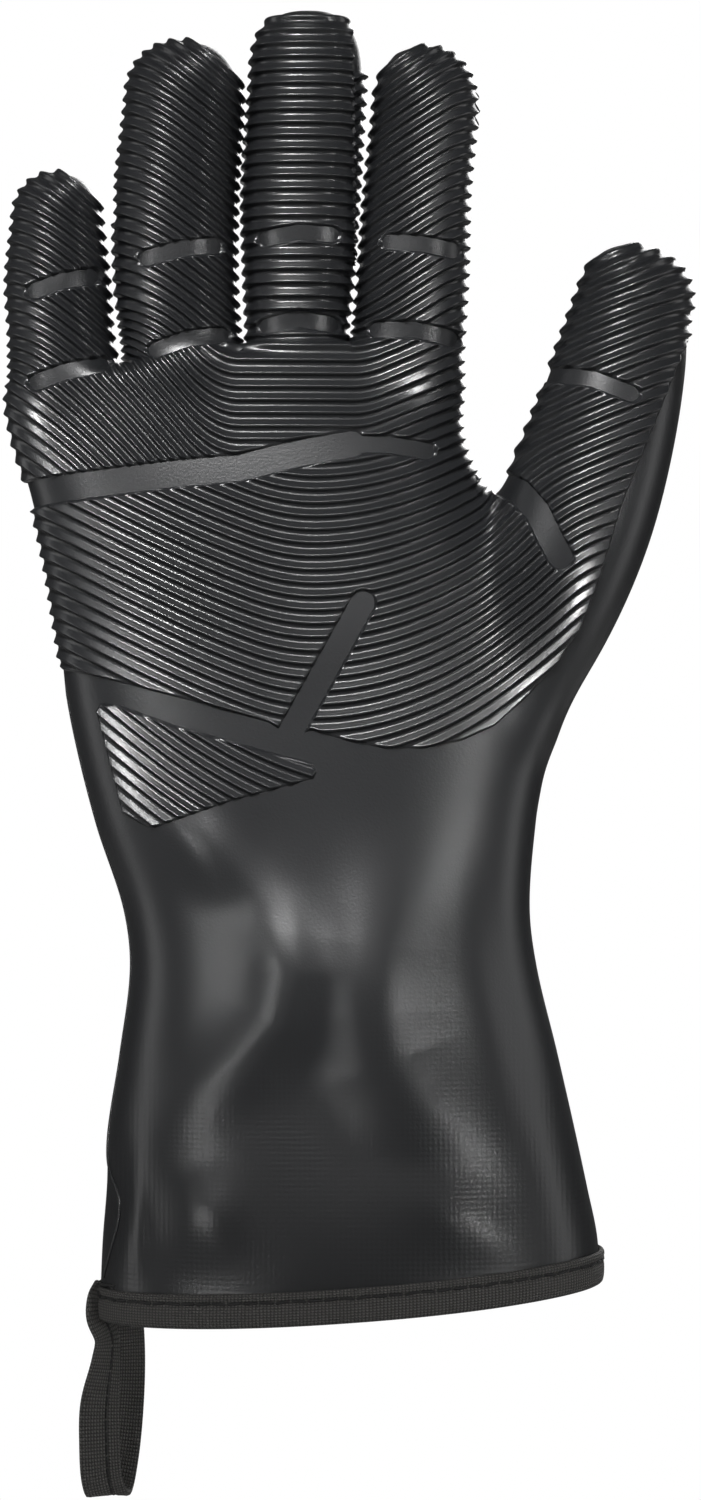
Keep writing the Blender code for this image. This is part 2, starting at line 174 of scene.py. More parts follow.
# soft folds on the palm side of the cuff: points down the fold as x and z, its half width and its height
foldTop = 150
cuffFolds = [
    ([(-26, 134), (-22.3, 104.3), (-20.7, 90.9), (-22.9, 77.1),
      (-31.2, 66.7), (-41.4, 57), (-55, 36.7)], 9, 3.6),
    ([(8, 134.8), (1, 98.5), (0, 80.1), (2.2, 66.1), (8.9, 55.6), (18.4, 44.6), (36.2, 26.2)], 15, 4.6),
    ([(-15.7, 142), (-13.4, 110.2), (-12.9, 92.5), (-12.9, 76.7), (-12.7, 40.2)], 7, -0.6),
    ([(-15, 112), (-9, 6)], 19, -2.6),
    ([(33, 132.5), (37.2, 103.7), (42.9, 73.5), (50.2, 31.9)], 9, -2.2),
    ([(-45.2, 44.2), (-42, 8.3)], 9, 2.4),
    ([(14.3, 44.2), (33.2, 9.5)], 11, 1.8),
    ([(-52.7, 142.6), (-33.9, 104.4)], 8, 2.4),
    ([(-35.4, 142), (-16.4, 92.3)], 8, -1.4),
    ([(-64.6, 46.4), (-62.4, 28.5), (-61.5, 4.4)], 3.4, 1.5),
    ([(-68.5, 54.4), (-66.5, 12)], 5, -2.2),
]


def foldHeight(x, z):
    # sum of height x exp(-(distance / half width) squared), each fold fading to nothing at its top and bottom
    height = np.zeros(x.shape)
    near = z < foldTop
    if not near.any():
        return height
    px, pz = x[near], z[near]
    total = np.zeros(px.shape)
    for points, half, rise in cuffFolds:
        distance = np.sqrt(polylineDistance(px, pz, points) ** 2 + 1.0) - 1.0
        top, bottom = points[0][1], points[-1][1]
        fade = np.sin(math.pi * np.clip((pz - bottom) / (top - bottom), 0, 1)) ** 2
        total += rise * fade * np.exp(-(distance / half) ** 2)
    height[near] = total
    return height


def bodyField(x, y, z):
    # an oval at each height, cut off at the webs and raised by the folds on the palm side
    sides = ("left", "right", "front", "back")
    left, right, front, back = (smoothCurve(z, bodyShape["z"], bodyShape[side]) for side in sides)
    depth = np.where(y < 0, front, back)
    side = ovalField(x - (left + right) / 2, y, 0.0, (right - left) / 2, depth, 1.0, bodyShape["square"])
    top = z - np.interp(x, webShape["x"], webShape["z"])
    facing = smoothStep(-y, 4.0, 22.0)
    folds = foldHeight(*np.broadcast_arrays(x, z)) * facing
    return -softMin(folds - side, -top, fieldBlend["top"])


def digitAxes(name):
    # the digit's start, the direction along it (the upright turned by its lean) and the one across it
    lean = math.radians(digitShape[name]["lean"])
    along = np.array([math.sin(lean), 0.0, math.cos(lean)])
    across = np.array([math.cos(lean), 0.0, -math.sin(lean)])
    return np.array(digitShape[name]["start"], float), along, across


def digitField(name, x, y, z):
    # an oval round the digit's middle line, domed beyond the last station and tapered below the root
    shape = digitShape[name]
    start, along, across = digitAxes(name)
    dx, dz = x - start[0], z - start[2]
    s = dx * along[0] + dz * along[2]
    dy = y - start[1] + digitCurl * np.maximum(s, 0.0) ** 2
    q = dx * across[0] + dz * across[2]
    u = q - smoothCurve(s, shape["s"], shape["offset"])
    half = smoothCurve(s, shape["s"], shape["half"])
    rise = np.maximum(s - shape["s"][-1], 0.0)
    taper = digitTaper * np.maximum(shape["root"] - s, 0.0) ** 2
    return ovalField(u, dy, rise, half, half * digitDepth, shape["dome"], shape["square"]) + taper


def handField(x, y, z):
    # the body and the thumb, joined with a round fillet
    return softMin(bodyField(x, y, z), digitField("thumb", x, y, z), fieldBlend["thumb"])


def gloveField(x, y, z, only=None):
    # the hand with its fingers; only names the one finger to join, for that finger's own surface
    names = [only] if only else fingers
    nearest = digitField(names[0], x, y, z)
    for name in names[1:]:
        nearest = np.minimum(nearest, digitField(name, x, y, z))
    return softMin(handField(x, y, z), nearest, fieldBlend["finger"])


def slopeOf(field, p, step):
    # central differences of the field along x, y and z
    slope = np.empty_like(p)
    for axis in range(3):
        shift = np.zeros(3)
        shift[axis] = step
        slope[:, axis] = (field(*(p + shift).T) - field(*(p - shift).T)) / (2 * step)
    return slope


def fieldNormal(field, p, step=0.15):
    # the field's slope divided by its size, and that size
    slope = slopeOf(field, p, step)
    size = np.maximum(np.linalg.norm(slope, axis=1, keepdims=True), 1e-6)
    return slope / size, size[:, 0]


def unit(v):
    # each row divided by its length
    return v / np.linalg.norm(v, axis=1, keepdims=True)


def netSurface(field, low, high, cell):
    # surface nets: one vertex in each cell the surface crosses, at the mean of the crossings on its edges,
    # and one quad round each grid edge that the surface crosses
    axes = [np.arange(a, b + cell, cell) for a, b in zip(low, high)]
    value = field(axes[0][:, None, None], axes[1][None, :, None], axes[2][None, None, :])
    cells = tuple(len(a) - 1 for a in axes)
    total = np.zeros((3,) + cells)
    count = np.zeros(cells)
    for axis in range(3):
        u, v = [a for a in range(3) if a != axis]
        for du in (0, 1):
            for dv in (0, 1):
                near = [None] * 3
                near[axis] = slice(0, -1)
                near[u] = slice(du, cells[u] + du)
                near[v] = slice(dv, cells[v] + dv)
                far = list(near)
                far[axis] = slice(1, None)
                a = value[tuple(near)]
                b = value[tuple(far)]
                crosses = (a < 0) != (b < 0)
                t = np.where(crosses, a / np.where(crosses, a - b, 1.0), 0.0)
                total[axis] += t
                total[u] += crosses * du
                total[v] += crosses * dv
                count += crosses
    used = count > 0
    ids = np.full(cells, -1)
    ids[used] = np.arange(used.sum())
    index = np.argwhere(used)
    points = np.array(low, float) + cell * (index + total[:, used].T / count[used][:, None])
    faces = []
    for axis in range(3):
        u, v = [(1, 2), (2, 0), (0, 1)][axis]
        inner = [slice(1, -1)] * 3
        inner[axis] = slice(0, -1)
        ahead = list(inner)
        ahead[axis] = slice(1, None)
        isIn = value < 0
        a = isIn[tuple(inner)]
        b = isIn[tuple(ahead)]
        edge = np.argwhere(a != b)
        outward = a[a != b]
        edge[:, u] += 1
        edge[:, v] += 1
        corners = []
        for du, dv in ((1, 1), (0, 1), (0, 0), (1, 0)):
            cellIndex = edge.copy()
            cellIndex[:, u] -= du
            cellIndex[:, v] -= dv
            corners.append(ids[tuple(cellIndex.T)])
        quad = np.stack(corners, axis=1)
        quad[~outward] = quad[~outward, ::-1]
        faces.append(quad)
    return points, np.concatenate(faces)


def project(field, points, rounds=3):
    # Newton steps along the field's slope, then the outward normals there
    for _ in range(rounds):
        normal, slope = fieldNormal(field, points)
        points = points - normal * (field(*points.T) / slope)[:, None]
    return points, fieldNormal(field, points)[0]


# Fold lines of the glove, from the frame's joints: how far each bend reaches on both sides of its axis.
bendReach = {"wrist_bend": 18, "knuckle_bend": 11, "thumb_base_bend": 9, "thumb_upper_bend": 10,
             "little_lower_bend": 8, "ring_lower_bend": 8.5, "middle_lower_bend": 8.5,
             "index_lower_bend": 8.5,
             "little_upper_bend": 9.5, "ring_upper_bend": 9.5, "middle_upper_bend": 10,
             "index_upper_bend": 9.5}


def foldOf(name):
    # the fold's point and the direction across it, towards the fingertip
    joint = joints[name]
    ax, _, az = joint["axis"]
    return np.array(joint["pos_m"]) / mm, np.array([-az, 0.0, ax])


def across(name, p):
    # distance of each point beyond the fold, towards the fingertip
    point, up = foldOf(name)
    return (p - point) @ up


def bend(obj):
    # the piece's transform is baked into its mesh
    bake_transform(obj)


fingerEdges = (-200.0, -66.8, -33.3, -4.0, 200.0)


def regionsOf(p):
    # which piece of the glove each point belongs to
    region = np.full(len(p), "cuff", dtype=object)
    region[across("wrist_bend", p) > 60] = "hand"
    thumb = (across("thumb_base_bend", p) > -bendReach["thumb_base_bend"] - 0.8) & (p[:, 0] > 33.5)
    knuckle = (across("knuckle_bend", p) > -bendReach["knuckle_bend"] - 1) & ~thumb
    region[knuckle] = "hand"
    for i, name in enumerate(fingers):
        low, high = name + "_lower_bend", name + "_upper_bend"
        mine = (p[:, 0] > fingerEdges[i]) & (p[:, 0] <= fingerEdges[i + 1]) & ~thumb
        region[mine & (across(low, p) > -bendReach[low] - 0.8)] = name + "_base"
        middle = (foldOf(low)[0][2] + foldOf(high)[0][2]) / 2
        region[mine & (p[:, 2] > middle)] = name + "_tip"
    region[thumb] = "thumb_base"
    thumbSplit = (np.linalg.norm(foldOf("thumb_upper_bend")[0] - foldOf("thumb_base_bend")[0])) / 2
    region[thumb & (across("thumb_upper_bend", p) > -thumbSplit)] = "thumb_tip"
    return region


regionBend = {"cuff": "wrist_bend", "hand": "knuckle_bend", "thumb_base": "thumb_base_bend",
              "thumb_tip": "thumb_upper_bend"}
for digit in fingers:
    regionBend[digit + "_base"] = digit + "_lower_bend"
    regionBend[digit + "_tip"] = digit + "_upper_bend"


def addMesh(name, points, faces, material, normals=None, uv=None):
    # a mesh object from arrays in millimetres; faces are quads or triangles as one array
    mesh = bpy.data.meshes.new(name)
    sides = faces.shape[1]
    mesh.vertices.add(len(points))
    mesh.vertices.foreach_set("co", (points * mm).astype(np.float32).ravel())
    mesh.loops.add(faces.size)
    mesh.loops.foreach_set("vertex_index", faces.astype(np.int32).ravel())
    mesh.polygons.add(len(faces))
    mesh.polygons.foreach_set("loop_start", np.arange(0, faces.size, sides, dtype=np.int32))
    mesh.update(calc_edges=True)
    mesh.validate()
    mesh.shade_smooth()
    if uv is not None:
        layer = mesh.uv_layers.new(name="UVMap")
        layer.data.foreach_set("uv", uv[faces.ravel()].astype(np.float32).ravel())
    if normals is not None:
        mesh.normals_split_custom_set_from_vertices(normals.astype(np.float32))
    mesh.materials.append(material)
    return addObject(name, mesh)


def keepFaces(points, faces, keep, extras=()):
    # the chosen faces with only their own vertices
    faces = faces[keep]
    used = np.unique(faces)
    renumber = np.full(len(points), -1)
    renumber[used] = np.arange(len(used))
    return [points[used], renumber[faces]] + [extra[used] for extra in extras]


def rimOf(faces):
    # directed edges that only one face uses
    a = faces.ravel()
    b = np.roll(faces, -1, axis=1).ravel()
    key = np.sort(np.stack([a, b], axis=1), axis=1)
    _, inverse, counts = np.unique(key, axis=0, return_inverse=True, return_counts=True)
    lone = counts[inverse.ravel()] == 1
    return np.stack([a[lone], b[lone]], axis=1)


def thicken(points, faces, normals, wall):
    # a second layer inwards by the wall, and faces round the rims, so that the piece is closed
    n = len(points)
    rim = rimOf(faces)
    sides = np.stack([rim[:, 1], rim[:, 0], rim[:, 0] + n, rim[:, 1] + n], axis=1)
    allFaces = np.concatenate([faces, faces[:, ::-1] + n, sides])
    return np.concatenate([points, points - normals * wall]), allFaces, np.concatenate([normals, -normals])


# Effects are node groups that put out a height or a colour; each material's own shader stays with it.
grain = {
    "fineScale": 1500.0,       # specks per metre
    "fineDetail": 3.0,
    "weavePitch": 0.00135,     # metres between the threads that show through the cuff
    "weaveStart": 0.095,       # height where they begin to show
    "weaveFull": 0.045,
    "weavePatches": 60.0,      # patches of weave per metre
    "knitWale": 0.95,          # millimetres between the knit's columns
    "knitCourse": 0.75,
    "knitLean": 0.9,           # how far a course climbs within a column, as an angle
}


def newGroup(name):
    # an empty node group that puts out one height
    group = bpy.data.node_groups.new(name, "ShaderNodeTree")
    group.interface.new_socket("Height", in_out="OUTPUT", socket_type="NodeSocketFloat")
    return group, group.nodes.new("NodeGroupOutput")


def mathNode(tree, operation, a, b=None):
    # one sum; a and b are sockets or numbers
    node = tree.nodes.new("ShaderNodeMath")
    node.operation = operation
    for index, value in enumerate((a, b)):
        if value is None:
            continue
        if isinstance(value, (int, float)):
            node.inputs[index].default_value = value
        else:
            tree.links.new(value, node.inputs[index])
    return node.outputs[0]


def makeFineGrain():
    # height = noise of small specks in object space
    group, out = newGroup("fineGrain")
    place = group.nodes.new("ShaderNodeTexCoord")
    noise = group.nodes.new("ShaderNodeTexNoise")
    noise.inputs["Scale"].default_value = grain["fineScale"]
    noise.inputs["Detail"].default_value = grain["fineDetail"]
    group.links.new(place.outputs["Object"], noise.inputs["Vector"])
    group.links.new(noise.outputs["Fac"], out.inputs["Height"])
    return group


def makeWeave():
    # height = (sin x + sin z at the weave's pitch) x patches of noise, fading out up the cuff
    group, out = newGroup("weaveImprint")
    place = group.nodes.new("ShaderNodeTexCoord")
    split = group.nodes.new("ShaderNodeSeparateXYZ")
    group.links.new(place.outputs["Object"], split.inputs[0])
    turn = 2 * math.pi / grain["weavePitch"]
    acrossWave = mathNode(group, "SINE", mathNode(group, "MULTIPLY", split.outputs["X"], turn))
    upWave = mathNode(group, "SINE", mathNode(group, "MULTIPLY", split.outputs["Z"], turn))
    patches = group.nodes.new("ShaderNodeTexNoise")
    patches.inputs["Scale"].default_value = grain["weavePatches"]
    group.links.new(place.outputs["Object"], patches.inputs["Vector"])
    fade = group.nodes.new("ShaderNodeMapRange")
    fade.inputs["From Min"].default_value = grain["weaveStart"]
    fade.inputs["From Max"].default_value = grain["weaveFull"]
    group.links.new(split.outputs["Z"], fade.inputs["Value"])
    both = mathNode(group, "ADD", acrossWave, upWave)
    shown = mathNode(group, "MULTIPLY", patches.outputs["Fac"], fade.outputs["Result"])
    group.links.new(mathNode(group, "MULTIPLY", both, shown), out.inputs["Height"])
    return group


def makeKnit():
    # height = |sin| of the columns x |sin| of the courses, u and v in millimetres
    group, out = newGroup("knit")
    place = group.nodes.new("ShaderNodeUVMap")
    place.uv_map = "UVMap"
    split = group.nodes.new("ShaderNodeSeparateXYZ")
    group.links.new(place.outputs["UV"], split.inputs[0])
    column = mathNode(group, "MULTIPLY", split.outputs["X"], math.pi / grain["knitWale"])
    wave = mathNode(group, "ABSOLUTE", mathNode(group, "SINE", column))
    lean = mathNode(group, "MULTIPLY", wave, grain["knitLean"])
    row = mathNode(group, "MULTIPLY", split.outputs["Y"], math.pi / grain["knitCourse"])
    course = mathNode(group, "ABSOLUTE", mathNode(group, "SINE", mathNode(group, "ADD", row, lean)))
    group.links.new(mathNode(group, "MULTIPLY", wave, course), out.inputs["Height"])
    return group


fineGrain = makeFineGrain()
weaveImprint = makeWeave()
knit = makeKnit()


def makeMaterial(name, color, roughness, bumps, lift=None):
    # a Principled surface; bumps are (group, metres), and lift is a painted highlight: the colour mixed in
    # where the first bump is highest
    material = bpy.data.materials.new(name)
    material.use_nodes = True
    tree = material.node_tree
    shader = tree.nodes["Principled BSDF"]
    shader.inputs["Base Color"].default_value = color
    shader.inputs["Roughness"].default_value = roughness
    normal = None
    for index, (group, distance) in enumerate(bumps):
        effect = tree.nodes.new("ShaderNodeGroup")
        effect.node_tree = group
        bump = tree.nodes.new("ShaderNodeBump")
        bump.inputs["Strength"].default_value = 1.0
        bump.inputs["Distance"].default_value = distance
        tree.links.new(effect.outputs["Height"], bump.inputs["Height"])
        if normal is not None:
            tree.links.new(normal, bump.inputs["Normal"])
        normal = bump.outputs["Normal"]
        # painted highlight: the colour rises towards lift on the raised parts of the first bump
        if lift and index == 0:
            mix = tree.nodes.new("ShaderNodeMix")
            mix.data_type = "RGBA"
            mix.inputs["A"].default_value = color
            mix.inputs["B"].default_value = lift
            tree.links.new(effect.outputs["Height"], mix.inputs["Factor"])
            tree.links.new(mix.outputs["Result"], shader.inputs["Base Color"])
    if normal is not None:
        tree.links.new(normal, shader.inputs["Normal"])
    return material


# bumps are in metres
rubberColor = (0.010, 0.0105, 0.0115, 1)
finish = {
    "rubber": {"color": rubberColor, "roughness": 0.36,
               "bumps": [(fineGrain, 0.00005), (weaveImprint, 0.000016)]},
    "grip_rubber": {"color": rubberColor, "roughness": 0.29, "bumps": [(fineGrain, 0.00005)]},
    # the tape's lift is a painted highlight on the raised knit loops
    "tape": {"color": (0.012, 0.0115, 0.011, 1), "roughness": 0.8, "bumps": [(knit, 0.0003)],
             "lift": (0.09, 0.087, 0.081, 1)},
    "thread": {"color": (0.004, 0.004, 0.004, 1), "roughness": 0.75, "bumps": []},
    "liner": {"color": (0.018, 0.018, 0.019, 1), "roughness": 0.9, "bumps": [(fineGrain, 0.0002)]},
}
materials = {name: makeMaterial(name, **values) for name, values in finish.items()}

skin = {"cell": 1.3, "wall": 1.2, "low": (-101, -42, -14), "high": (94, 42, 356), "trim": 0.6}
liner = {"cell": 2.6, "wall": 1.8, "level": -1.5}
mouth = {"tilt": 0.0908, "lift": 1.1, "bow": 0.0004, "middle": 20.0}


def mouthHeight(x):
    # height of the glove's mouth: tilt x + lift + bow (x - middle) squared
    return mouth["tilt"] * x + mouth["lift"] + mouth["bow"] * (x - mouth["middle"]) ** 2


def makeShell(kind, level, wall, cell, material):
    # the surface where the field equals the level, as one closed wall for each region of the glove
    def shifted(x, y, z):
        return gloveField(x, y, z) - level
    points, faces = netSurface(shifted, skin["low"], skin["high"], cell)
    points, normals = project(shifted, points)
    centres = points[faces].mean(axis=1)
    region = regionsOf(centres)
    overMouth = centres[:, 2] - mouthHeight(centres[:, 0])
    made = {}
    for name in regionBend:
        keep = (region == name) & (overMouth > skin["trim"])
        walls = thicken(*keepFaces(points, faces, keep, (normals,)), wall)
        obj = addMesh(kind + "_" + name, walls[0], walls[1], material, normals=walls[2])
        bend(obj)
        made[name] = obj
    return made


shells = makeShell("skin", 0.0, skin["wall"], skin["cell"], materials["rubber"])
liners = makeShell("liner", liner["level"], liner["wall"], liner["cell"], materials["liner"])
print("skin and liner made:", sum(len(o.data.polygons) for o in shells.values()), "faces in the skin")

# Grip pads: heights are in millimetres above the skin, positions are x and z on the palm side.
grip = {
    "land": 0.45,          # height of the pad between its ribs
    "rib": 1.05,           # height of a rib above that
    "ribPower": 2.0,       # larger makes the ribs narrower
    "lean": 0.085,         # steeper below the crest and gentler above it
    "pitch": 3.56,         # from rib to rib up the hand
    "cell": 1.15,
    "sink": 0.7,           # how far the pad's rim goes under the skin
    "sideEnd": 3.5,        # how far round the back of the hand the pads go
}
gripOutline = [(-81, 171), (-92, 179), (-105, 216), (-105, 360), (36, 360), (36, 270), (46, 270), (52, 301),
               (97, 301), (97, 267), (86, 259), (80, 244), (68, 215), (62, 195), (57, 182), (51, 173),
               (43, 164), (34, 156), (25, 152), (15, 150), (5, 150), (-5, 152), (-15, 155), (-18, 152),
               (-26, 157), (-48, 163), (-71, 169)]
heelOutline = [(-72, 160), (-71, 162), (-67, 162), (-50, 156), (-14, 146), (-13, 144), (-14, 142), (-36, 136),
               (-56, 129), (-58, 129), (-65, 133)]
# middle of the smooth crease across the palm, and where it narrows
creaseLine = [(-105, 216), (-85, 219), (-51, 223), (-34, 224.5), (-18, 228.5), (-4, 231), (6, 231),
              (16, 229.5)]
# smooth bars between the ribs: a line of points and the half width round it
smoothBars = [
    (creaseLine[:6], 3.5),
    (creaseLine[5:], 2.2),
    ([(-1, 188.5), (-20.5, 153.5)], 3.2),
    ([(-88.5, 272.5), (-81.5, 275), (-74, 276.5)], 2.1),
    ([(-88, 248), (-79.5, 251), (-71, 252.5)], 2.1),
    ([(-58.5, 281), (-49.5, 283.5), (-41, 284.5)], 2.1),
    ([(-56, 256.5), (-47.5, 259.5), (-39, 260.5)], 2.1),
    ([(-26.5, 286.5), (-18, 288), (-9.5, 287.5)], 2.1),
    ([(-26.5, 263), (-18, 265), (-9.5, 263.5)], 2.1),
    ([(6.5, 285.5), (14.5, 285), (23, 283.5)], 2.1),
    ([(3, 262), (12.5, 262), (22.5, 260)], 2.1),
    ([(50.5, 250), (60.5, 248.5), (70.5, 244.5)], 2.1),
    ([(35.5, 222), (41, 218.5), (45.5, 213), (49, 205.5), (51.5, 201)], 3.2),
]
# slopes of the ribs across the hand, as x and rise per millimetre
ribSlopes = {
    "palm": ((-95, -69, -50, -30, -13.8, 0, 16, 27, 38, 50, 66, 90),
             (-0.52, -0.52, -0.47, -0.36, 0, 0.2, 0.42, 0.58, 0.76, 0.86, 0.92, 1.0)),
    "knuckle": ((-95, -85, -70, -58, -48, -41, -34, -4, 4, 16, 27, 38, 50),
                (-0.7, -0.8, -1.0, -1.15, -1.15, -0.6, 0, 0, 0.42, 0.46, 0.58, 0.76, 0.86)),
    "little": ((-97, -90, -82, -70), (-0.25, -0.5, -0.78, -0.98)),
    "ring": ((-67, -60, -50, -36), (-0.3, -0.5, -0.76, -0.86)),
    "middle": ((-33, -28, -18, -7, -2), (0.12, 0.0, 0.0, 0.0, -0.1)),
    "index": ((-1, 8, 20, 28), (0.62, 0.7, 0.66, 0.35)),
    "thumb": ((30, 52, 66, 90), (0.42, 0.5, 0.42, 0.36)),
    "heel": ((-72, -58, -40, -20, -10), (-0.85, -0.78, -0.6, -0.36, -0.25)),
}
# where a finger's own slopes take over: x of its middle, then the heights of start and end
ribChange = {"little": (-82, 247, 262), "ring": (-49, 252, 270), "middle": (-18, 255, 268),
             "index": (13, 254, 272)}
# the last rib of each digit goes through this point
lastRib = {"little": (-80.5, 303.5), "ring": (-45, 339.5), "middle": (-16, 347.5), "index": (11, 338.5),
           "thumb": (63, 284.5)}


def insideDistance(x, z, points):
    # distance to the outline, positive inside it, by counting the edges that a line to the right crosses
    closed = points + points[:1]
    isIn = np.zeros(x.shape, bool)
    for (ax, az), (bx, bz) in zip(closed[:-1], closed[1:]):
        if az != bz:
            isIn ^= ((az > z) != (bz > z)) & (x < ax + (z - az) * (bx - ax) / (bz - az))
    return np.where(isIn, 1.0, -1.0) * polylineDistance(x, z, closed)


def slopeRise(name, x, origin):
    # height of a rib at x above its height at the origin: the slopes added up along x
    xs, slopes = ribSlopes[name]
    fine = np.linspace(-110, 110, 881)
    slope = np.interp(fine, xs, slopes)
    rise = np.concatenate([[0], np.cumsum((slope[1:] + slope[:-1]) / 2 * np.diff(fine))])
    return np.interp(x, fine, rise) - np.interp(origin, fine, rise)


def ribPhase(x, z):
    # the number of ribs up the hand; whole numbers are the crests
    palm = slopeRise("palm", x, 22.0)
    knuckle = slopeRise("knuckle", x, 22.0)
    crease = np.interp(x, *np.transpose(creaseLine))
    rise = palm + (knuckle - palm) * smoothStep(z - crease, -0.8, 0.8)
    for i, name in enumerate(fingers):
        middle, low, high = ribChange[name]
        mine = (x > fingerEdges[i]) & (x <= fingerEdges[i + 1]) & (z > low)
        own = slopeRise(name, x, middle) + slopeRise("knuckle", middle, 22.0)
        rise = np.where(mine, rise + (own - rise) * smoothStep(z, low, high), rise)
    thumb = slopeRise("thumb", x, 56.0) + slopeRise("palm", 56.0, 22.0)
    share = smoothStep(0.84 * (x - 44.5) + 0.545 * (z - 214.5), -14, 16) * (x > 29)
    rise = rise + (thumb - rise) * share
    isHeel = insideDistance(x, z, heelOutline) > -1.6
    rise = np.where(isHeel, slopeRise("heel", x, -40.0) + 1.2, rise)
    return (z - rise) / grip["pitch"]


def digitOf(x, z):
    # index of the digit that each point belongs to
    finger = np.searchsorted(np.array(fingerEdges[1:-1]), x)
    return np.where((x > 33.5) & (0.84 * (x - 33.5) + 0.545 * (z - 222) > 0), 4, finger)


lastPhase = np.round([ribPhase(*np.array(lastRib[digit], float)[:, None])[0] for digit in digitNames])


def padInside(x, y, z):
    # how far inside the pads a point is: the least of the distances to their edges, bars and ends
    inside = np.maximum(insideDistance(x, z, gripOutline), insideDistance(x, z, heelOutline))
    for points, half in smoothBars:
        inside = np.minimum(inside, polylineDistance(x, z, points) - half)
    inside = np.minimum(inside, grip["sideEnd"] - y)
    last = lastPhase[digitOf(x, z)]
    return np.minimum(inside, (last + 0.32 - ribPhase(x, z)) * grip["pitch"] * 0.8)


def gripHeight(x, y, z):
    # height = edge x (land + rib x crest), less the sink where the pad's rim goes under the skin
    inside = padInside(x, y, z)
    phase = ribPhase(x, z)
    turn = 2 * math.pi * phase
    crest = (0.5 + 0.5 * np.cos(turn - 2 * math.pi * grip["lean"] * (1 - np.cos(turn)))) ** grip["ribPower"]
    edge = smoothStep(inside, -0.15, 0.75)
    return edge * (grip["land"] + grip["rib"] * crest) - grip["sink"] * (1 - smoothStep(inside, -0.6, 0.05))


def splitAlong(points, faces, value, levels):
    # cuts each triangle along the lines where the value equals a level, so that edges follow those lines
    order = np.argsort(value[faces], axis=1, kind="stable")
    corner = np.take_along_axis(faces, order, axis=1)
    even = (order[:, 1] - order[:, 0]) % 3 == 1
    v = value[corner]
    first = np.searchsorted(levels, v[:, 0], side="right")
    last = np.maximum(np.searchsorted(levels, v[:, 2], side="left"), first)
    cuts = last - first
    start = np.concatenate([[0], np.cumsum(cuts)[:-1]])
    tri = np.repeat(np.arange(len(faces)), cuts)
    level = first[tri] + np.arange(len(tri)) - start[tri]
    height = levels[level]
    lowSide = height < v[tri, 1]
    a, b, c = corner[tri].T
    ends = [(a, c), (np.where(lowSide, a, b), np.where(lowSide, b, c))]
    p = np.concatenate([np.minimum(*e) for e in ends])
    q = np.concatenate([np.maximum(*e) for e in ends])
    key = (p * len(points) + q) * len(levels) + np.concatenate([level, level])
    _, index, inverse = np.unique(key, return_index=True, return_inverse=True)
    inverse = inverse.ravel()
    p, q = p[index], q[index]
    h = np.concatenate([height, height])[index]
    t = np.clip((h - value[p]) / np.where(value[q] == value[p], 1.0, value[q] - value[p]), 0, 1)
    newPoints = np.concatenate([points, points[p] + (points[q] - points[p]) * t[:, None]])
    chord = len(points) + inverse[:len(tri)]
    chain = len(points) + inverse[len(tri):]
    # one band of each triangle between two neighbouring levels
    bands = cuts + 1
    owner = np.repeat(np.arange(len(faces)), bands)
    k = np.arange(len(owner)) - (np.cumsum(bands) - bands)[owner]
    a, b, c = corner[owner].T
    most = max(len(tri) - 1, 0)
    below = np.clip(start[owner] + k - 1, 0, most)
    above = np.clip(start[owner] + k, 0, most)
    hasLow = k > 0
    hasHigh = k < cuts[owner]
    lowChord, lowChain = (np.where(hasLow, line[below], a) for line in (chord, chain))
    highChord, highChain = (np.where(hasHigh, line[above], c) for line in (chord, chain))
    bottom = np.where(hasLow, levels[np.clip(first[owner] + k - 1, 0, len(levels) - 1)], -np.inf)
    top = np.where(hasHigh, levels[np.clip(first[owner] + k, 0, len(levels) - 1)], np.inf)
    vb = v[owner, 1]
    middle = np.where((vb >= bottom) & (vb <= top), b, highChain)
    corners = ((lowChord, lowChain, middle), (lowChord, middle, highChain), (lowChord, highChain, highChord))
    made = np.concatenate([np.stack(three, 1) for three in corners])
    flip = np.concatenate([~even[owner]] * 3)
    made[flip] = made[flip, ::-1]
    whole = (made[:, 0] != made[:, 1]) & (made[:, 1] != made[:, 2]) & (made[:, 0] != made[:, 2])
    return newPoints, made[whole]


def makeGrips(material):
    # a fine surface whose edges follow the pads' outlines and the ribs, raised by the grip height
    points, faces = netSurface(gloveField, (-101, -36, 122), (94, 12, 356), grip["cell"])
    faces = np.concatenate([faces[:, [0, 1, 2]], faces[:, [0, 2, 3]]])
    points, _ = project(gloveField, points, 2)
    inside = padInside(*points.T)
    points, faces = keepFaces(points, faces, inside[faces].max(axis=1) > -0.7)
    points, faces = splitAlong(points, faces, padInside(*points.T), np.array([-0.6, -0.1, 0.25, 0.75]))
    inside = padInside(*points.T)
    points, faces = keepFaces(points, faces, inside[faces].min(axis=1) >= -0.62)
    points, _ = project(gloveField, points, 1)
    steps = np.array([0.0, 0.08, 0.17, 0.27, 0.42, 0.62, 0.76, 0.85, 0.93])
    phase = ribPhase(points[:, 0], points[:, 2])
    levels = (np.arange(math.floor(phase.min()), math.ceil(phase.max()) + 1)[:, None] + steps).ravel()
    points, faces = splitAlong(points, faces, phase, levels)
    points, normals = project(gloveField, points, 1)
    slope = slopeOf(gripHeight, points, 0.08)
    slope -= normals * (slope * normals).sum(axis=1, keepdims=True)
    raised = points + normals * gripHeight(*points.T)[:, None]
    shade = unit(normals - slope)
    region = regionsOf(points[faces].mean(axis=1))
    made = {}
    for name in regionBend:
        keep = region == name
        if not keep.any():
            continue
        part = keepFaces(raised, faces, keep, (shade,))
        obj = addMesh("grip_" + name, part[0], part[1], material, normals=part[2])
        bend(obj)
        made[name] = obj
    return made


grips = makeGrips(materials["grip_rubber"])
print("grips made:", sum(len(o.data.polygons) for o in grips.values()), "faces")

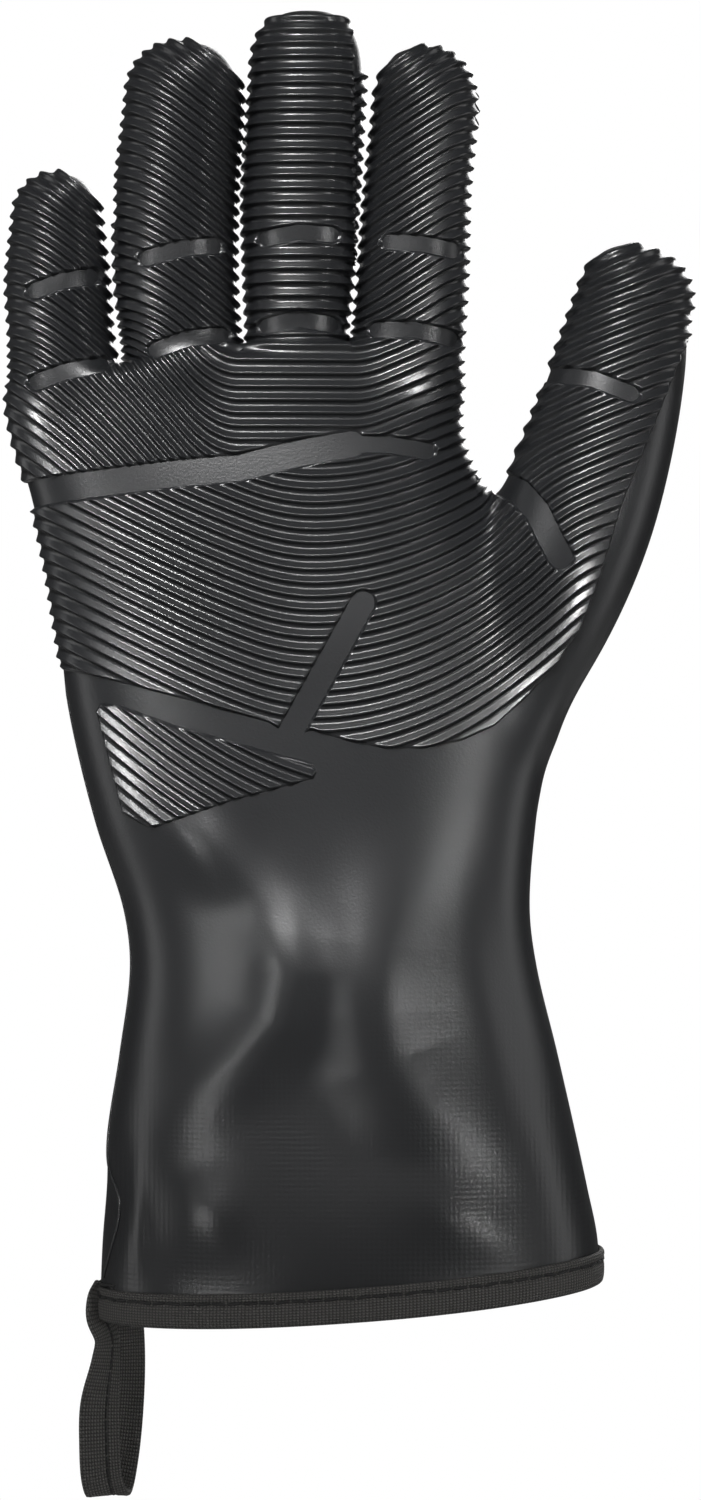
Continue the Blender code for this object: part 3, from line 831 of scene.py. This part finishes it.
# The hem is a tape folded over the mouth's edge: its section as distance outwards and height, in millimetres.
hem = {
    "section": [(0.95, -0.7), (1.25, 0.2), (1.42, 1.6), (1.45, 3.5), (1.32, 4.7), (0.98, 5.25), (0.98, 5.65),
                (1.42, 6.1), (1.62, 6.8), (1.48, 7.5), (0.95, 7.9), (0.3, 7.9), (0.08, 7.4), (0.05, 1.2),
                (-3.35, 1.2), (-3.4, 7.2), (-3.7, 7.8), (-4.3, 7.6), (-4.6, 6.6), (-4.6, 2.6), (-4.3, 0.2),
                (-3.4, -0.9), (-1.8, -1.3), (-0.2, -1.3)],
    "stations": 260,
    "stitchHeight": 5.45,
    "stitchPitch": 4.2,
    "stitchGap": 1.2,
    "stitchOut": 1.12,     # from the skin to the middle of the thread
    "stitchDrop": 0.25,    # how far a stitch may tip
    "thread": 0.45,
}


def mouthPoints(angles, height):
    # where rays from the mouth's middle meet the skin at a height over the mouth, by halving the interval
    low = np.full(angles.shape, 8.0)
    high = np.full(angles.shape, 95.0)
    ray = np.stack([np.cos(angles), np.sin(angles)], axis=1)
    for _ in range(26):
        r = (low + high) / 2
        x = -3.0 + ray[:, 0] * r
        y = ray[:, 1] * r
        z = mouthHeight(x) + height
        isIn = bodyField(x, y, z) < 0
        low = np.where(isIn, r, low)
        high = np.where(isIn, high, r)
    p = np.stack([x, y, z], axis=1)
    normal = fieldNormal(bodyField, p)[0]
    normal[:, 2] = 0
    return p, unit(normal)


def lengthAlong(points):
    # length of the line from its first point to each point
    return np.concatenate([[0], np.cumsum(np.linalg.norm(np.diff(points, axis=0), axis=1))])


def mouthAngles(count):
    # angles that put the points evenly along the mouth's edge
    fine = np.linspace(0, 2 * math.pi, 721)
    p, _ = mouthPoints(fine, 4.0)
    length = lengthAlong(p)
    return np.interp(np.arange(count) / count * length[-1], length, fine), length[-1]


def gridFaces(rows, columns, wrapRows, wrapColumns):
    # quads between the points of a grid that may close on itself
    i = np.arange(rows if wrapRows else rows - 1)[:, None]
    j = np.arange(columns if wrapColumns else columns - 1)[None, :]
    nextI = (i + 1) % rows
    nextJ = (j + 1) % columns
    return np.stack([i * columns + j, i * columns + nextJ, nextI * columns + nextJ, nextI * columns + j],
                    axis=-1).reshape(-1, 4)


def roundSection(section, times):
    # a closed outline with each corner cut round, by moving in a quarter from both ends of each side
    section = np.array(section, float)
    for _ in range(times):
        ahead = np.roll(section, -1, axis=0)
        ends = [section * 0.75 + ahead * 0.25, section * 0.25 + ahead * 0.75]
        section = np.stack(ends, axis=1).reshape(-1, 2)
    return section


def makeHem(material):
    # the section swept round the mouth: point = skin at its height + normal x its distance outwards
    section = roundSection(hem["section"], 1)
    angles, length = mouthAngles(hem["stations"])
    rows = []
    for outwards, height in section:
        p, normal = mouthPoints(angles, height)
        rows.append(p + normal * outwards)
    points = np.stack(rows, axis=1).reshape(-1, 3)
    faces = gridFaces(len(angles), len(section), True, True)
    around = lengthAlong(section)
    along = np.arange(len(angles)) / len(angles) * length
    uv = np.stack([np.repeat(along, len(section)), np.tile(around, len(angles))], axis=1)
    obj = addMesh("hem_tape", points, faces[:, ::-1], material, uv=uv)
    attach(obj, "cuff")
    print("hem length", round(length, 1), "mm")
    return obj, length


def capsules(starts, ends, radius, sides=8, caps=2):
    # short threads with round ends, all in one mesh
    axis = unit(ends - starts)
    aside = unit(np.cross(axis, [0.31, 0.52, 0.79]))
    third = np.cross(axis, aside)
    turn = np.linspace(0, math.pi / 2, caps + 1)[1:]
    back = [(-math.sin(t), math.cos(t)) for t in turn[::-1]]
    rings = [(0, along, wide) for along, wide in back] + [(0, 0.0, 1.0), (1, 0.0, 1.0)]
    rings += [(1, -along, wide) for along, wide in back[::-1]]
    angle = np.arange(sides) / sides * 2 * math.pi
    shape = []
    for end, along, wide in rings:
        centre = (ends if end else starts) + axis * along * radius
        circle = aside[:, None] * np.cos(angle)[None, :, None] + third[:, None] * np.sin(angle)[None, :, None]
        shape.append(centre[:, None] + circle * max(wide, 0.02) * radius)
    block = np.stack(shape, axis=1)
    one = gridFaces(len(rings), sides, False, True)
    each = len(rings) * sides
    faces = (one[None] + (np.arange(len(starts)) * each)[:, None, None]).reshape(-1, 4)
    return block.reshape(-1, 3), faces


def makeStitches(material, length):
    # from every second point round the mouth, each thread covers its share of the pitch, tipped a little
    count = int(length / hem["stitchPitch"])
    angles, _ = mouthAngles(count * 2)
    share = (hem["stitchPitch"] - hem["stitchGap"]) / hem["stitchPitch"]
    p, normal = mouthPoints(angles, hem["stitchHeight"])
    p = p + normal * hem["stitchOut"]
    starts = p[0::2]
    ends = starts + (np.roll(p, -2, axis=0)[0::2] - starts) * share
    drop = np.sin(np.arange(count) * 2.4) * hem["stitchDrop"]
    starts[:, 2] += drop
    ends[:, 2] -= drop
    points, faces = capsules(starts, ends, hem["thread"])
    obj = addMesh("hem_stitches", points, faces, material)
    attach(obj, "cuff")
    return obj


# The hanging loop, a folded and sewn tape. A station is x, y, z, the turn of its width in degrees, its width.
loop = {
    "stations": [(-71.0, -7.5, 6.6, 30, 3.6), (-71.9, -9.4, 3.0, 28, 5.4), (-71.6, -9.9, -2.0, 32, 7.0),
                 (-69.4, -9.6, -8.2, 42, 7.4), (-69.7, -9.6, -13.5, 34, 8.0),
                 (-71.3, -9.9, -25.5, 18, 10.3), (-71.4, -9.3, -37.0, 14, 10.6),
                 (-71.0, -7.2, -45.5, 14, 10.6), (-69.9, -2.6, -50.3, 13, 10.6),
                 (-68.6, 2.6, -49.6, 13, 10.6), (-67.0, 6.8, -42.0, 14, 10.4),
                 (-65.7, 8.6, -30.0, 15, 10.2), (-64.9, 8.4, -16.0, 15, 9.6), (-64.9, 6.4, -5.0, 15, 8.8),
                 (-65.2, 4.0, 2.5, 15, 8.0)],
    "thick": 1.7,
    "steps": 150,
    "stitchAside": 0.16,
    "stitchPitch": 3.3,
    "stitchLength": 2.3,
    "thread": 0.33,
}


def loopPath():
    # a smooth curve through the stations, with the width square to the curve and outer = tangent x width
    stations = np.array(loop["stations"], float)
    length = lengthAlong(stations[:, :3])
    s = np.linspace(0, length[-1], loop["steps"])
    values = np.stack([smoothCurve(s, length, stations[:, i]) for i in range(5)], axis=1)
    centre = values[:, :3]
    tangent = unit(np.gradient(centre, axis=0))
    turn = np.radians(values[:, 3])
    wide = np.stack([np.cos(turn), np.sin(turn), np.zeros_like(turn)], axis=1)
    wide = unit(wide - tangent * (wide * tangent).sum(axis=1, keepdims=True))
    outer = np.cross(tangent, wide)
    return s, centre, wide, outer, values[:, 4]


def makeLoop(material, thread):
    # the section is a flat folded tape with a groove where it is sewn, scaled to each station's width
    s, centre, wide, outer, width = loopPath()
    t = loop["thick"] / 2
    edge = loop["stitchAside"]
    section = roundSection([(-0.5, -t), (-0.2, -t * 1.02), (edge, -t * 0.9), (0.36, -t), (0.5, -t),
                            (0.52, 0), (0.5, t), (0.36, t), (edge + 0.08, t * 1.05), (edge, t * 0.55),
                            (edge - 0.08, t * 1.1), (-0.2, t * 1.15), (-0.5, t), (-0.53, 0)], 1)
    points = (centre[:, None] + wide[:, None] * (section[None, :, :1] * width[:, None, None])
              + outer[:, None] * section[None, :, 1:])
    rows, columns = points.shape[:2]
    points = points.reshape(-1, 3)
    faces = gridFaces(rows, columns, False, True)
    middle = np.full(columns, len(points))
    points = np.concatenate([points, centre[[0, -1]]])
    j = np.arange(columns)
    after = (j + 1) % columns
    last = (rows - 1) * columns
    caps = [np.stack([after, j, middle], axis=1), np.stack([last + j, last + after, middle + 1], axis=1)]
    triangles = np.concatenate([faces[:, [0, 1, 2]], faces[:, [0, 2, 3]]] + caps)
    around = section[:, 0] * 10 + np.where(section[:, 1] > 0, 0, 20)
    uv = np.stack([np.repeat(s, columns), np.tile(around, rows)], axis=1)
    uv = np.concatenate([uv, [[0, 0], [s[-1], 0]]])
    tape = addMesh("loop_tape", points, triangles, material, uv=uv)
    seam = centre + wide * (edge * width)[:, None] + outer * t * 0.75
    start = np.arange(1.5, s[-1] - 3, loop["stitchPitch"])
    at, to = (np.stack([np.interp(place, s, seam[:, i]) for i in range(3)], axis=1)
              for place in (start, start + loop["stitchLength"]))
    points, faces = capsules(at, to, loop["thread"])
    sewn = addMesh("loop_stitches", points, faces, thread)
    for obj in (tape, sewn):
        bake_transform(obj)
    print("loop tape length", round(s[-1], 1), "mm")
    return tape, sewn


def makeTack(material):
    # a few tight threads over the corner where the loop goes into the hem
    starts = np.array([(-70.9, -11.2, 6.6), (-70.2, -12.0, 5.4), (-71.6, -11.6, 4.6), (-68.2, -15.0, 5.2),
                       (-68.6, -14.6, 3.9), (-68.0, -15.6, 6.4), (-69.6, -13.6, 4.6)], float)
    ends = np.array([(-67.6, -15.6, 6.9), (-67.2, -16.2, 4.6), (-68.2, -15.2, 3.4), (-66.6, -17.0, 7.4),
                     (-66.8, -16.8, 3.4), (-66.3, -17.4, 5.0), (-67.0, -16.6, 6.2)], float)
    points, faces = capsules(starts, ends, 0.5)
    obj = addMesh("loop_tack", points, faces, material)
    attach(obj, "cuff")
    return obj


# The mould line up the little finger side: heights and how far it lies towards the palm, in millimetres.
mouldLine = {"z": (8.5, 16, 25, 31, 38, 46, 60, 90, 120, 150, 172),
             "towards": (10, 14, 16, 14, 7, 2, 0, 0, 0, 0, 0), "half": 0.55, "rise": 0.5,
             "step": 1.2, "fade": 8, "sides": 10}


def makeMouldLine(material):
    # for each height the side of the skin is found by halving, then a low ridge is swept along it
    sides = mouldLine["sides"]
    z = np.arange(mouldLine["z"][0], mouldLine["z"][-1], mouldLine["step"])
    y = -smoothCurve(z, mouldLine["z"], mouldLine["towards"])
    low = np.full(z.shape, -100.0)
    high = np.full(z.shape, -30.0)
    for _ in range(24):
        x = (low + high) / 2
        isIn = gloveField(x, y, z) < 0
        high = np.where(isIn, x, high)
        low = np.where(isIn, low, x)
    centre = np.stack([x, y, z], axis=1)
    normal = fieldNormal(gloveField, centre)[0]
    tangent = unit(np.gradient(centre, axis=0))
    aside = np.cross(tangent, normal)
    angle = np.arange(sides) / sides * 2 * math.pi
    fade = np.minimum(1, (mouldLine["z"][-1] + 0.5 - z) / mouldLine["fade"])[:, None, None]
    ring = (aside[:, None] * (np.cos(angle) * mouldLine["half"])[None, :, None]
            + normal[:, None] * (np.sin(angle) * mouldLine["rise"])[None, :, None]) * fade
    points = (centre[:, None] + ring).reshape(-1, 3)
    obj = addMesh("mould_line", points, gridFaces(len(z), sides, False, True), material)
    bend(obj)
    return obj


hemTape, hemLength = makeHem(materials["tape"])
stitches = makeStitches(materials["thread"], hemLength)
loopTape, loopStitches = makeLoop(materials["tape"], materials["thread"])
tack = makeTack(materials["thread"])
makeMouldLine(materials["rubber"])
print("trim made")


def standFor():
    # each new piece stands for the CAD nodes of the same part of the glove
    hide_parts("cuff_skin", "wrist_flex")
    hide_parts("hand_skin", "knuckle_flex", "knuckle_skin")
    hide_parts("cuff_liner")
    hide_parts("hand_liner", "knuckle_liner")
    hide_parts("upper_palm_grip", "main_palm_grip", "thenar_grip", "heel_grip")
    for digit in digitNames:
        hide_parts(digit + "_root_flex", digit + "_base_skin")
        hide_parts(digit + "_mid_flex", digit + "_tip_skin")
        for part in ("_base", "_tip"):
            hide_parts(digit + part + "_liner")
            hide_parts(digit + part + "_grip")
    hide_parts("hem_binding")
    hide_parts("hem_thread")
    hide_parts("hang_loop", "loop_anchor")
    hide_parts("loop_bartack")


standFor()
print("CAD nodes replaced")


# watts and metres; the cones' widths are in degrees
lights = {
    "key": {"at": (-0.25, -1.35, 1.3), "size": (0.8, 0.5), "power": 5.5},
    "left": {"at": (-1.3, -0.1, 0.3), "size": (0.3, 1.4), "power": 3.4},
    "right": {"at": (1.3, -0.1, 0.3), "size": (0.3, 1.4), "power": 3.4},
    "back": {"at": (0.6, 1.6, 0.9), "size": (1.0, 0.8), "power": 16},
}
cones = {
    "palm": {"at": (-0.3, -1.3, 1.35), "aim": (-0.015, 0, 0.212), "radius": 0.14, "power": 900, "cone": 5.6},
    "cuff_left": {"at": (-1.1, -1.6, 0.2), "aim": (-0.02, 0, 0.085), "radius": 0.28, "power": 330,
                  "cone": 6.4},
    "cuff_right": {"at": (1.2, -1.5, 0.2), "aim": (0.015, 0, 0.085), "radius": 0.34, "power": 640,
                   "cone": 6.6},
}


def makeLight(name, kind, place, aim, power):
    # a lamp at its place, turned so that its own minus z points at the aim
    data = bpy.data.lights.new(name, kind)
    data.energy = power
    obj = addObject(name, data)
    obj.location = place
    obj.rotation_euler = (Vector(aim) - Vector(place)).to_track_quat("-Z", "Y").to_euler()
    return data


def makeLights():
    # soft rectangles turned to the middle of the glove, and soft cones on the palm and the wrist
    for name, light in lights.items():
        data = makeLight(name, "AREA", light["at"], (0, 0, 0.16), light["power"])
        data.shape = "RECTANGLE"
        data.size, data.size_y = light["size"]
    for name, light in cones.items():
        data = makeLight(name, "SPOT", light["at"], light["aim"], light["power"])
        data.shadow_soft_size = light["radius"]
        data.spot_size = math.radians(light["cone"])
        data.spot_blend = 1.0


def makeWorld():
    # white where it is seen directly, and dim where it lights the rubber
    world = bpy.data.worlds.new("studio")
    world.use_nodes = True
    nodes = world.node_tree.nodes
    links = world.node_tree.links
    path = nodes.new("ShaderNodeLightPath")
    mix = nodes.new("ShaderNodeMixShader")
    links.new(path.outputs["Is Camera Ray"], mix.inputs[0])
    shades = (nodes["Background"], nodes.new("ShaderNodeBackground"))
    for index, (shade, strength) in enumerate(zip(shades, (0.06, 1.0))):
        shade.inputs["Color"].default_value = (1, 1, 1, 1)
        shade.inputs["Strength"].default_value = strength
        links.new(shade.outputs[0], mix.inputs[index + 1])
    links.new(mix.outputs[0], nodes["World Output"].inputs["Surface"])
    bpy.context.scene.world = world
    bpy.context.scene.view_settings.view_transform = "Standard"


def makeFloor():
    # a plain pale floor well below the glove, a little brighter where it is seen directly
    mesh = bpy.data.meshes.new("floor")
    half = 1.5
    height = -0.36
    corners = [(-half, -half, height), (half, -half, height), (half, half, height), (-half, half, height)]
    mesh.from_pydata(corners, [], [(0, 1, 2, 3)])
    paint = makeMaterial("floor", (0.8, 0.8, 0.8, 1), 0.9, [])
    shader = next(node for node in paint.node_tree.nodes if node.type == "BSDF_PRINCIPLED")
    path = paint.node_tree.nodes.new("ShaderNodeLightPath")
    shader.inputs["Specular IOR Level"].default_value = 0.0
    shader.inputs["Emission Color"].default_value = (0.55, 0.55, 0.55, 1)
    paint.node_tree.links.new(path.outputs["Is Camera Ray"], shader.inputs["Emission Strength"])
    mesh.materials.append(paint)
    obj = addObject("floor", mesh)


makeLights()
makeWorld()
makeFloor()
print("lights and floor made")
